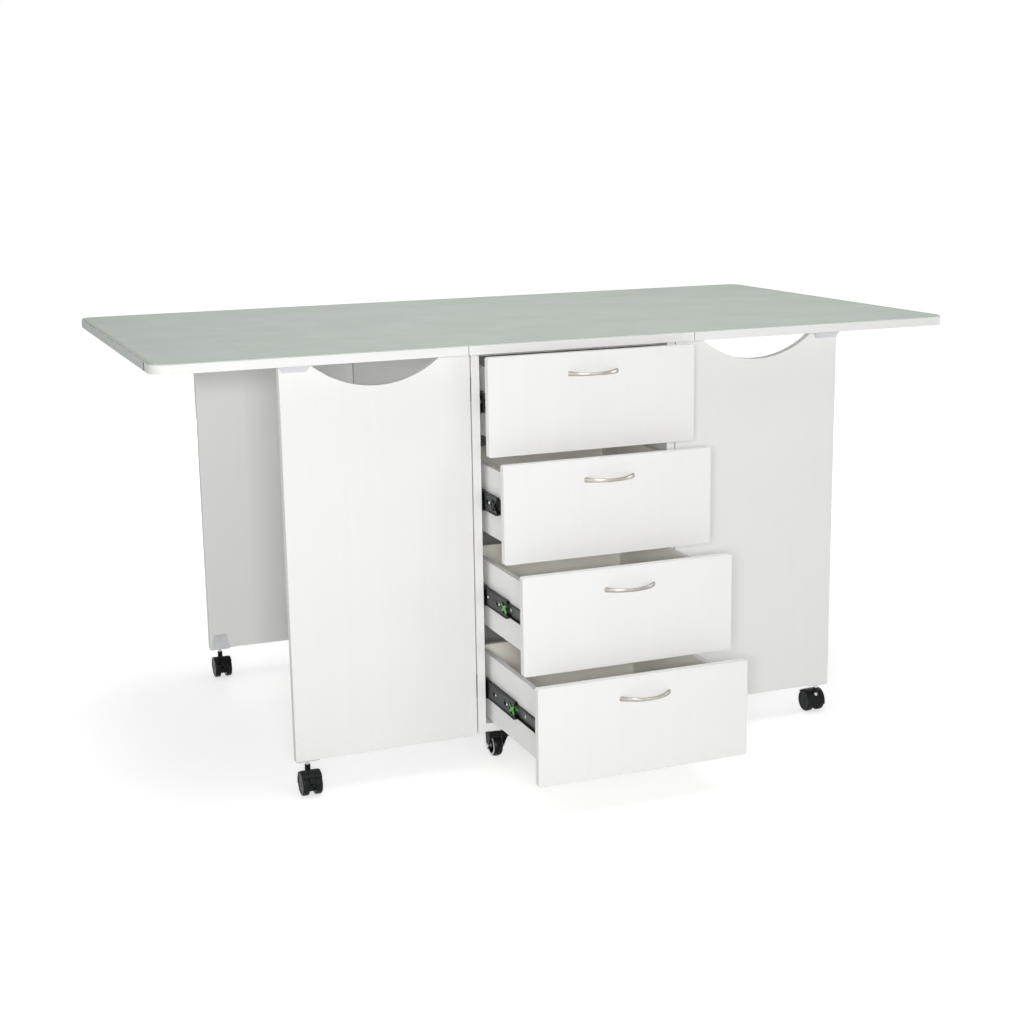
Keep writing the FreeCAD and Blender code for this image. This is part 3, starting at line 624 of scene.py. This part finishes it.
def caster_hood(corner):
    """Hood: a mudguard over the wheels, a web between them, a collar round the stem and two eyelets, painted near
    black for the shade in their holes.

    The guard is a crowned section carried round the axle, axle + x * X + r * (cos t * forward + sin t * Z),
    with r less by w^6 towards its two rims. The web is a flat plate with the guard's arc as its upper edge.
    """
    node = corner + "_caster_hood"
    axle, stem = joint_place(corner + "_caster_roll"), joint_place(corner + "_caster_swivel")
    trail = np.sign(axle[1] - stem[1])
    radius = axle[2]
    inner, crown, rim_drop, half = radius + 0.6 * MM, radius + 2.2 * MM, 0.9 * MM, 20.8 * MM
    first, last, steps = -15, 140, 40
    w = np.linspace(-1, 1, 17)
    outside = np.stack((half * w, crown - rim_drop * w**6), axis=1)
    inside = np.stack((half * w[::-1], np.full_like(w, inner)), axis=1)
    section = np.concatenate((outside, inside))
    turn = np.radians(np.linspace(first, last, steps))
    away = -trail * np.cos(turn)[:, None] * Y + np.sin(turn)[:, None] * Z
    guard = tube(axle + section[:, :1] * X + section[:, 1:] * away[:, None])

    web_half, overlap, chamfer = 6.3 * MM, 0.5 * MM, 2 * MM
    face, neck, foot = trail * 22.5 * MM, 6 * MM, 14 * MM - radius
    edge = arc((0, 0), inner + overlap, first, last, steps) * (-trail, 1)
    rest = [(face, neck), (face, foot + chamfer), (face - trail * chamfer, foot), (edge[0, 0], foot)]
    web = plate(np.concatenate((edge, rest)), axle - web_half * X, Y, Z, 2 * web_half)

    collar_tall, collar_radius, collar_chamfer = 12 * MM, 6 * MM, 0.6 * MM
    collar_profile = [
        (0, collar_radius),
        (collar_tall - collar_chamfer, collar_radius),
        (collar_tall, collar_radius - collar_chamfer),
    ]
    collar = lathe(stem - collar_tall * Z, Z, collar_profile, count=48)
    made = piece(node + "_moulded", [guard, web, collar], black_moulded, node)
    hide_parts(node)

    # Eyelets: small dishes painted near black, as painted shade of the holes
    dish = from_face(0, ((1, 2.6), (-0.2, 2.6), (-0.3, 2.3), (-0.1, 1.6), (-0.1, 0.3)))
    upper, lower = (-2.4 * MM, face, 3.6 * MM), (2.4 * MM, face, -5.5 * MM)
    holes = [lathe(axle + spot, trail * Y, dish, count=24) for spot in (upper, lower)]
    eyelets = piece(node + "_eyelets", holes, hole_painted_shade, node)


def cabinet_wheel(corner):
    """Solid wheel turned about X: a tread crowned by a cosine, a recessed disc and two light rings."""
    node = corner + "_cabinet_caster_wheel"
    low, high = extent(node)
    axle = joint_place(corner + "_cabinet_caster_roll")
    radius, half = axle[2], (high[0] - low[0]) / 2
    tread_drop, tread_turn = 4 * MM, 78
    q = np.radians(np.linspace(-tread_turn, tread_turn, 25))
    tread = np.stack((half * np.sin(q) / np.sin(q[-1]), radius - tread_drop * (1 - np.cos(q))), axis=1)
    side = from_face(half, ((0, 17), (2.5, 16), (2.5, 7), (0, 6.4), (0, 3.1)))
    profile = np.concatenate((side[::-1] * (-1, 1), tread, side))
    made = piece(node + "_moulded", [lathe(axle, X, profile)], black_moulded, node)
    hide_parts(node)

    proud = 0.3 * MM
    ring = from_face(
        half + proud,
        ((1.3, 17.3), (0.2, 17.3), (0, 17.6), (0, 21.4), (0.2, 21.7), (1.3, 21.7), (1.3, 17.3)),
    )
    rings = piece(node + "_rings", [lathe(axle, way * X, ring) for way in (-1, 1)], ring_grey, node)


def cabinet_fork(corner):
    """Pressed fork: two legs that taper to a round foot, a crown with turned-down edges, and its axle bolt.

    A leg's outline is in y and z, and its x goes from the foot's to the crown's in proportion to z, so
    that the two legs lean towards each other on their way down. The crown is a rounded oblong, carried down
    through levels of depth below the top and how far the oblong is drawn in there.
    """
    node = corner + "_cabinet_caster_fork"
    low, high = extent(node)
    axle = joint_place(corner + "_cabinet_caster_roll")
    pin = joint_place(corner + "_cabinet_caster_swivel")
    top, reach = high[2] - axle[2], (high[0] - low[0]) / 2
    steel, bolt_head = 2.5 * MM, 2.5 * MM
    foot_half, crown_half, crown_deep = reach - bolt_head, 24 * MM, 15 * MM
    crown_middle = pin[1] - axle[1]
    back, front = crown_middle - crown_deep, crown_middle + crown_deep
    foot_round, front_round, back_round = 8 * MM, 4 * MM, 3 * MM
    foot = arc((0, 0), foot_round, -170, 10, 25)
    shoulder = arc((front - front_round, top - front_round), front_round, 15, 90, 8)
    heel = arc((back + back_round, top - back_round), back_round, 90, 180, 8)
    outline = np.concatenate((foot, shoulder, heel))
    lean = foot_half + (crown_half - foot_half) * np.clip(outline[:, 1] / top, 0, 1)
    side = axle + outline[:, :1] * Y + outline[:, 1:] * Z
    shells = []
    for way in (-1, 1):
        outside = side + way * lean[:, None] * X
        shells.append(tube(np.stack((outside, outside - way * steel * X))))

    count, corner_round = 32, 3 * MM
    levels = np.array(((0, 1.6), (0.3, 0.8), (0.8, 0.3), (1.6, 0), (15, 1.2))) * MM
    half_step = 180 / count
    circle = arc((0, 0), 1, half_step, 360 - half_step, count)
    oblong = np.sign(circle) * (crown_half - corner_round, crown_deep - corner_round) + corner_round * circle
    flat = oblong[:, :1] * X + oblong[:, 1:] * Y
    shrink = 1 - levels[:, 1:, None] / crown_half
    shells.append(tube(axle + crown_middle * Y + shrink * flat + (top - levels[:, :1, None]) * Z))
    fork = piece(node + "_pressed", shells, black_sprayed, node)
    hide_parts(node)

    shank = 3 * MM
    head = from_face(reach, ((2.5, 5.2), (0.8, 5), (0.2, 4), (0, 2.6), (0, 0.6)))
    nut = from_face(
        reach, ((2.5, 5.6), (-1, 5.6), (-1.6, 4.6), (-1.6, 3), (-3, 2.8), (-3.4, 2.2), (-3.4, 0.6))
    )
    profile = np.concatenate((head[::-1] * (-1, 1), [(-foot_half, shank), (foot_half, shank)], nut))
    bolt = piece(corner + "_axle_bolt", [lathe(axle, X, profile, count=40)], bright_bolt, node)


def slide_side(node, way):
    """Outer face, front end and middle height of a pair of slide members, and the name of its side."""
    low, high = extent(node)
    face, side = (high[0], "right") if way > 0 else (low[0], "left")
    return face, low[1], (low[2] + high[2]) / 2, side


def slide_lever(i, way):
    """Lever at the front end of a middle member: a hub and four splayed fingers, like an X.

    A finger's middle line leaves the hub and bends outwards, y = root + splay * s^bend and z = rise * s for
    s from 0 to 1. Its half width narrows from root to tip, and its half thickness swells by s * (1 - s).
    """
    body = "drawer_%d_middle_members" % i
    face, front, height, side = slide_side(body, way)
    inset, setback = 2.3 * MM, 15.8 * MM
    root, splay, bend, rise = 1.5 * MM, 9.8 * MM, 1.4, 8 * MM
    root_half, taper = 3.6 * MM, 1 * MM
    thick_half, swell = 1.5 * MM, 0.5 * MM
    middle = np.array((face - way * inset, front + setback, height))
    s = np.linspace(0, 1, 14)[:, None]
    wide = (root_half - taper * s)[:, :, None] * SQUARE[:, :1] * Y
    deep = (thick_half + swell * s * (1 - s))[:, :, None] * SQUARE[:, 1:] * X
    shells = []
    for along in (-1, 1):
        for up in (-1, 1):
            line = middle + along * (root + splay * s**bend) * Y + up * rise * s * Z
            shells.append(tube(line[:, None] + wide + deep))
    hub = from_face(0, ((1.5, 4.4), (-1.6, 4.4), (-2, 3.6), (-2, 0.6)))
    shells.append(lathe(middle, way * X, hub, count=28))
    finish = lever_green if i in GREEN_LEVERS else black_moulded
    piece("slide_lever_%d_%s" % (i, side), shells, finish, body)


def slide_rivets(i, way):
    """Bright domed rivets at the front of the middle member's slots: a quarter ellipse turned about X."""
    body = "drawer_%d_middle_members" % i
    face, front, height, side = slide_side(body, way)
    inset, sunk, dome_tall, dome_wide, tip = 2.7 * MM, 0.3 * MM, 1.4 * MM, 3.2 * MM, 0.1 * MM
    root, root_radius = -0.9 * MM, dome_wide + tip
    dome = arc((-sunk, tip), (dome_tall, dome_wide), 90, 0, 9)
    profile = np.concatenate(([(root, root_radius)], dome))
    places = [np.array((face - way * inset, front + reach, height)) for reach in SLOT_RIVETS]
    shells = [lathe(place, way * X, profile, count=28) for place in places]
    made = piece("slide_rivets_%d_%s" % (i, side), shells, bright_bolt, body)


def lever_tongue(i, way):
    """Tongue on the drawer's rail, which the lever passes when the drawer is far out: a bowed strip.

    Its middle line is y = long * s and z = bow * s^2 for s from 0 to 1, and its half height swells by
    sin(pi * s).
    """
    face, front, height, side = slide_side("drawer_%d_slide_rails" % i, way)
    inset, setback, raised = 4.9 * MM, 158 * MM, 1.5 * MM
    long, bow = 16 * MM, 4 * MM
    end_half, swell = 1.4 * MM, 1.2 * MM
    under, over = -0.3 * MM, 2.4 * MM
    root = np.array((face - way * inset, front + setback, height + raised))
    s = np.linspace(0, 1, 16)[:, None]
    line = root + long * s * Y + bow * s**2 * Z
    tall = (end_half + swell * np.sin(np.pi * s))[:, :, None] * SQUARE[:, :1] * Z
    deep = way * np.array((under, under, over, over))[:, None] * X
    finish = lever_green if i in GREEN_LEVERS else black_moulded
    strip = tube(line[:, None] + tall + deep)
    piece("lever_tongue_%d_%s" % (i, side), [strip], finish, "drawer_%d" % i)


def make_pieces():
    """Every new piece: the mat, then each drawer's, then each corner's."""
    cutting_mat("cutting_mat_left", -1)
    right_half = cutting_mat("cutting_mat_right", 1)
    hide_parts("cutting_mat_center")
    for i in DRAWERS:
        bow_handle(i)
        for way in (-1, 1):
            slide_lever(i, way)
            slide_rivets(i, way)
            lever_tongue(i, way)
    for corner in CORNERS:
        caster_wheels(corner)
        caster_hood(corner)
        cabinet_wheel(corner)
        cabinet_fork(corner)


# Stage

WHITE = (1.0, 1.0, 1.0, 1.0)
FLOOR_GREY = (0.72, 0.72, 0.72, 1.0)

# Floor: half its width, the distances from the origin between which its glow rises, and the glow at each
FLOOR_REACH = 30.0
GLOW_START, GLOW_END = 0.9, 2.0
GLOW_NEAR, GLOW_FAR = 0.57, 0.92

# Strength of the surround as light, and as the camera and reflections see it
SURROUND_LIGHT, SURROUND_SEEN = 0.2, 1.0

# Lamps: name, place, the point that it faces, width and height in metres, and power in watts
LAMPS = (
    ("by_camera", (-1.55, -3.99, 1.42), (0.0, -0.5, 0.5), (0.9, 0.4), 99.0),
    ("front_right", (1.6, -4.5, 1.3), (0.0, 0.0, 0.5), (1.2, 1.4), 12.0),
    ("left", (-4.6, -1.6, 0.8), (-0.3, 0.0, 0.5), (1.8, 1.4), 20.0),
    ("right", (4.6, -0.6, 0.75), (0.3, 0.0, 0.5), (1.8, 1.4), 38.0),
    ("rear", (0.8, 4.6, 0.75), (0.0, 0.3, 0.5), (2.0, 1.2), 75.0),
    ("overhead", (0.35, -0.1, 4.0), (0.35, -0.1, 0.0), (3.0, 3.0), 63.0),
)

# Camera: turn, dip and tilt in degrees, its place, measured in y from the front of the top, and its lens
CAMERA_YAW, CAMERA_DIP, CAMERA_TILT = 21.37, 12.51, -0.92
CAMERA_PLACE = (-1.40993, TOP_FRONT - 3.17681, 1.32058)
FOCAL_PIXELS, IMAGE_PIXELS = 1690.0, 1024.0
SENSOR_WIDTH, FAR_CLIP = 36.0, 100.0


def seen_mask(tree):
    """One where the camera sees it, also in a reflection or through glass, and zero for bounced light."""
    path = tree.nodes.new("ShaderNodeLightPath")
    seen = path.outputs["Is Camera Ray"]
    for ray in ("Is Glossy Ray", "Is Transmission Ray"):
        either = [(seen, 0), (path.outputs[ray], 1)]
        seen = add(tree, "ShaderNodeMath", either, operation="MAXIMUM").outputs[0]
    return seen


def studio_floor():
    """White sweep: a matte floor that bounces light, and that the camera sees brighter, more so far away."""
    t = np.linspace(-FLOOR_REACH, FLOOR_REACH, 3)
    x, y = np.meshgrid(t, t, indexing="ij")
    made, tree, shader, where = finish_tree(
        "studio_white", Base_Color=FLOOR_GREY, Roughness=0.9, Specular_IOR_Level=0.0, Emission_Color=WHITE
    )
    away = add(tree, "ShaderNodeVectorMath", [(where, 0)], operation="LENGTH")
    glow = add(
        tree, "ShaderNodeMapRange", [(away.outputs["Value"], "Value")],
        From_Min=GLOW_START, From_Max=GLOW_END, To_Min=GLOW_NEAR, To_Max=GLOW_FAR,
    )
    both = [(seen_mask(tree), 0), (glow.outputs["Result"], 1)]
    lift = add(tree, "ShaderNodeMath", both, operation="MULTIPLY")
    tree.links.new(lift.outputs[0], shader.inputs["Emission Strength"])
    floor = piece("studio_floor", [grid(np.stack((x, y, 0 * x), axis=-1))], made)


def studio_world():
    """Even white surround, which the camera and reflections see as plain white."""
    world = bpy.data.worlds.new("studio")
    bpy.context.scene.world = world
    world.use_nodes = True
    tree = world.node_tree
    back = tree.nodes["Background"]
    strength = add(
        tree, "ShaderNodeMapRange", [(seen_mask(tree), "Value")], To_Min=SURROUND_LIGHT, To_Max=SURROUND_SEEN
    )
    tree.links.new(strength.outputs["Result"], back.inputs["Strength"])
    back.inputs["Color"].default_value = WHITE


def soft_box(name, place, target, size, power):
    """Oblong area lamp that faces a point."""
    lamp = bpy.data.lights.new(name, "AREA")
    lamp.shape = "RECTANGLE"
    lamp.size, lamp.size_y = size
    lamp.energy = power
    made = bpy.data.objects.new(name, lamp)
    made.location = place
    made.rotation_euler = (Vector(target) - Vector(place)).to_track_quat("-Z", "Y").to_euler()
    bpy.context.scene.collection.objects.link(made)


def studio_camera():
    """Camera of the photograph: looks along yaw and dip, and leans by the tilt about that line."""
    yaw, dip, tilt = (math.radians(angle) for angle in (CAMERA_YAW, CAMERA_DIP, CAMERA_TILT))
    forward = Vector((math.sin(yaw) * math.cos(dip), math.cos(yaw) * math.cos(dip), -math.sin(dip)))
    level = Vector((math.cos(yaw), -math.sin(yaw), 0.0))
    upward = level.cross(forward)
    right = level * math.cos(tilt) + upward * math.sin(tilt)
    up = upward * math.cos(tilt) - level * math.sin(tilt)
    lens = bpy.data.cameras.new("studio_camera")
    lens.sensor_width = SENSOR_WIDTH
    lens.lens = FOCAL_PIXELS * SENSOR_WIDTH / IMAGE_PIXELS
    lens.clip_end = FAR_CLIP
    made = bpy.data.objects.new("studio_camera", lens)
    turn = Matrix((right, up, -forward)).transposed().to_4x4()
    made.matrix_world = Matrix.Translation(Vector(CAMERA_PLACE)) @ turn
    bpy.context.scene.collection.objects.link(made)
    bpy.context.scene.camera = made


dress()
make_pieces()
studio_floor()
studio_world()
for lamp in LAMPS:
    soft_box(*lamp)
studio_camera()
bpy.context.scene.view_settings.view_transform = "Standard"
